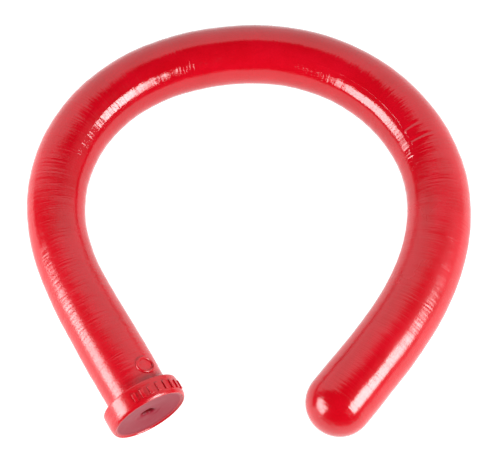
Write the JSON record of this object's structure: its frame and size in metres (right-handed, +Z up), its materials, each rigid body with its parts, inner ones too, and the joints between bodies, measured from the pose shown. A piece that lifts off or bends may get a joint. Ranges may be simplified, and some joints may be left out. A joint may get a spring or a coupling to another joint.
{
  "type": "flexible flanged rod",
  "caption": "Soft red moulded rod with a flanged, dished end and a domed end, lying in a horseshoe bend that opens out straight.",
  "frame": {"origin": "in the ground plane, under the middle of the bounding box", "axes": "+Z up from the ground; +Y towards the crown of the bend, with the open end towards -Y; +X towards the domed end's side"},
  "size_m": [0.2806, 0.2827, 0.0499],
  "materials": {
    "red_vinyl": "gloss"
  },
  "bodies": {
    "flanged_end": {"flanged_end": "red_vinyl"},
    "flange_leg_link_7": {"flange_leg_link_7": "red_vinyl"},
    "flange_leg_link_6": {"flange_leg_link_6": "red_vinyl"},
    "flange_leg_link_5": {"flange_leg_link_5": "red_vinyl"},
    "flange_leg_link_4": {"flange_leg_link_4": "red_vinyl"},
    "flange_leg_link_3": {"flange_leg_link_3": "red_vinyl"},
    "flange_leg_link_2": {"flange_leg_link_2": "red_vinyl"},
    "flange_leg_link_1": {"flange_leg_link_1": "red_vinyl"},
    "crown_link": {"crown_link": "red_vinyl"},
    "dome_leg_link_1": {"dome_leg_link_1": "red_vinyl"},
    "dome_leg_link_2": {"dome_leg_link_2": "red_vinyl"},
    "dome_leg_link_3": {"dome_leg_link_3": "red_vinyl"},
    "dome_leg_link_4": {"dome_leg_link_4": "red_vinyl"},
    "dome_leg_link_5": {"dome_leg_link_5": "red_vinyl"},
    "dome_leg_link_6": {"dome_leg_link_6": "red_vinyl"},
    "dome_leg_link_7": {"dome_leg_link_7": "red_vinyl"},
    "domed_end": {"domed_end": "red_vinyl"}
  },
  "joints": [
    {"name": "flange_leg_bend_1", "type": "hinge", "parent": "crown_link", "child": "flange_leg_link_1", "pos_m": [-0.00678, 0.12178, 0.01949], "axis": [0, 0, -1], "range_deg": [-0.9, 15.6], "stiffness_Nm_per_rad": 4},
    {"name": "flange_leg_bend_2", "type": "hinge", "parent": "flange_leg_link_1", "child": "flange_leg_link_2", "pos_m": [-0.0472, 0.11378, 0.01937], "axis": [0, 0, -1], "range_deg": [-0.9, 15.6], "stiffness_Nm_per_rad": 4},
    {"name": "flange_leg_bend_3", "type": "hinge", "parent": "flange_leg_link_2", "child": "flange_leg_link_3", "pos_m": [-0.07651, 0.09906, 0.01929], "axis": [0, 0, -1], "range_deg": [-0.9, 15.6], "stiffness_Nm_per_rad": 4},
    {"name": "flange_leg_bend_4", "type": "hinge", "parent": "flange_leg_link_3", "child": "flange_leg_link_4", "pos_m": [-0.0983, 0.07915, 0.01918], "axis": [0, 0, -1], "range_deg": [-0.9, 15.6], "stiffness_Nm_per_rad": 4},
    {"name": "flange_leg_bend_5", "type": "hinge", "parent": "flange_leg_link_4", "child": "flange_leg_link_5", "pos_m": [-0.11309, 0.05545, 0.01901], "axis": [0, 0, -1], "range_deg": [-0.9, 15.6], "stiffness_Nm_per_rad": 4},
    {"name": "flange_leg_bend_6", "type": "hinge", "parent": "flange_leg_link_5", "child": "flange_leg_link_6", "pos_m": [-0.12081, 0.02915, 0.01875], "axis": [0, 0, -1], "range_deg": [-0.9, 15.6], "stiffness_Nm_per_rad": 4},
    {"name": "flange_leg_bend_7", "type": "hinge", "parent": "flange_leg_link_6", "child": "flange_leg_link_7", "pos_m": [-0.12115, 0.0011, 0.01876], "axis": [0, 0, -1], "range_deg": [-0.9, 15.6], "stiffness_Nm_per_rad": 4},
    {"name": "flange_leg_bend_8", "type": "hinge", "parent": "flange_leg_link_7", "child": "flanged_end", "pos_m": [-0.1115, -0.0339, 0.01967], "axis": [0, 0, -1], "range_deg": [-0.9, 15.6], "stiffness_Nm_per_rad": 4},
    {"name": "dome_leg_bend_1", "type": "hinge", "parent": "crown_link", "child": "dome_leg_link_1", "pos_m": [0.02887, 0.11929, 0.01957], "axis": [0, 0, 1], "range_deg": [-0.9, 15.6], "stiffness_Nm_per_rad": 4},
    {"name": "dome_leg_bend_2", "type": "hinge", "parent": "dome_leg_link_1", "child": "dome_leg_link_2", "pos_m": [0.05968, 0.10821, 0.01963], "axis": [0, 0, 1], "range_deg": [-0.9, 15.6], "stiffness_Nm_per_rad": 4},
    {"name": "dome_leg_bend_3", "type": "hinge", "parent": "dome_leg_link_2", "child": "dome_leg_link_3", "pos_m": [0.08539, 0.08997, 0.01969], "axis": [0, 0, 1], "range_deg": [-0.9, 15.6], "stiffness_Nm_per_rad": 4},
    {"name": "dome_leg_bend_4", "type": "hinge", "parent": "dome_leg_link_3", "child": "dome_leg_link_4", "pos_m": [0.10505, 0.0657, 0.01975], "axis": [0, 0, 1], "range_deg": [-0.9, 15.6], "stiffness_Nm_per_rad": 4},
    {"name": "dome_leg_bend_5", "type": "hinge", "parent": "dome_leg_link_4", "child": "dome_leg_link_5", "pos_m": [0.11675, 0.03893, 0.01981], "axis": [0, 0, 1], "range_deg": [-0.9, 15.6], "stiffness_Nm_per_rad": 4},
    {"name": "dome_leg_bend_6", "type": "hinge", "parent": "dome_leg_link_5", "child": "dome_leg_link_6", "pos_m": [0.12048, 0.01133, 0.01987], "axis": [0, 0, 1], "range_deg": [-0.9, 15.6], "stiffness_Nm_per_rad": 4},
    {"name": "dome_leg_bend_7", "type": "hinge", "parent": "dome_leg_link_6", "child": "dome_leg_link_7", "pos_m": [0.11586, -0.02151, 0.01993], "axis": [0, 0, 1], "range_deg": [-0.9, 15.6], "stiffness_Nm_per_rad": 4},
    {"name": "dome_leg_bend_8", "type": "hinge", "parent": "dome_leg_link_7", "child": "domed_end", "pos_m": [0.09731, -0.06333, 0.02002], "axis": [0, 0, 1], "range_deg": [-0.9, 15.6], "stiffness_Nm_per_rad": 4}
  ]
}
